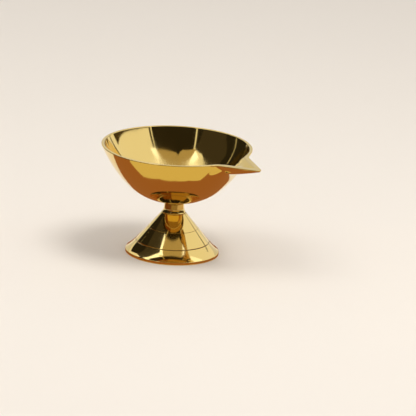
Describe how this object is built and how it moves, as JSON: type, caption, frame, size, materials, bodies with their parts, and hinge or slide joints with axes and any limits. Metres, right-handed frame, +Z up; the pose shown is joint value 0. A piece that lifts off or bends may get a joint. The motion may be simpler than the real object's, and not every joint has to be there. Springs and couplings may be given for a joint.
{
  "type": "oil lamp",
  "caption": "Small footed brass oil lamp (diya): an open turned bowl with a lip drawn out to carry the wick, screwed down on a hollow conical foot.",
  "frame": {"origin": "middle of the flat ring that the foot stands on, on the lamp's axis", "axes": "+Z up along the lamp's axis, +X toward the tip of the wick lip, which the XZ plane halves"},
  "size_m": [0.0873, 0.072, 0.0529],
  "materials": {
    "polished_brass": "mirror polished",
    "plain_brass": "dull, as machined"
  },
  "bodies": {
    "root": {"bowl": "polished_brass", "foot": "polished_brass", "clamp_screw": "plain_brass", "washer": "plain_brass"}
  },
  "joints": []
}
